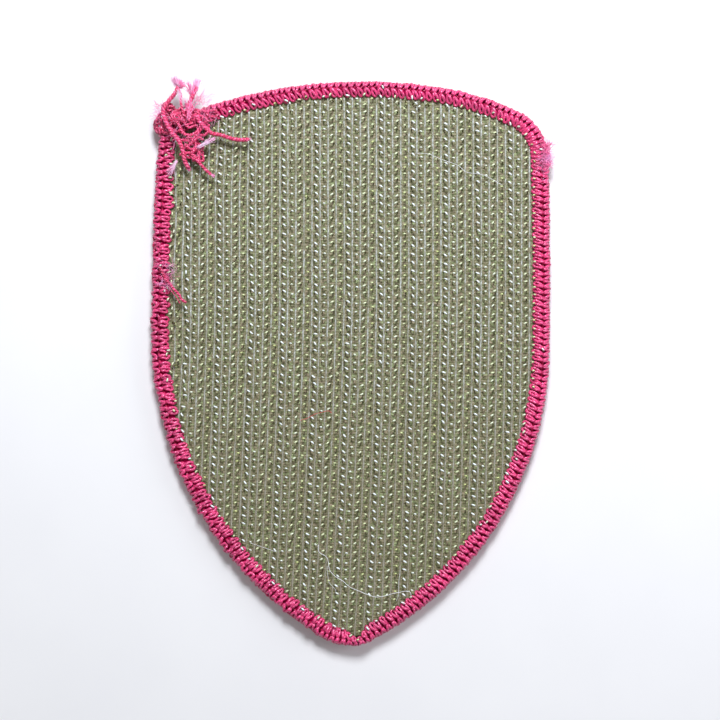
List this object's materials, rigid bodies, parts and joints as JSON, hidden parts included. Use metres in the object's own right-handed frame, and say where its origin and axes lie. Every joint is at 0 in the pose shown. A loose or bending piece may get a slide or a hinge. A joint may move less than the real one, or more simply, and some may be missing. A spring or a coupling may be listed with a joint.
{
  "type": "hook-and-loop patch",
  "caption": "Shield-shaped cloth patch lying hook side up: olive hook tape, crimson overlocked border and a knotted, frayed thread end at the corner.",
  "frame": {"origin": "on the flat underside, in the middle of the outline's box", "axes": "+Z out of the hook side, +Y from the point towards the arched top edge, +X across the shield"},
  "size_m": [0.0756, 0.108, 0.0054],
  "materials": {
    "face_cloth": "plain crimson twill",
    "hook_tape": "olive woven nylon ground with pale warp ribs",
    "hook_field": "olive-tinted translucent nylon monofilament hooks",
    "border_thread": "crimson overlock thread with a soft sheen",
    "tail_thread": "same thread, paler and fuzzy where it is frayed"
  },
  "bodies": {
    "root": {"face_cloth": "face_cloth", "hook_tape": "hook_tape", "hook_field": "hook_field", "stitched_border": "border_thread", "knotted_tail": "tail_thread"}
  },
  "joints": []
}
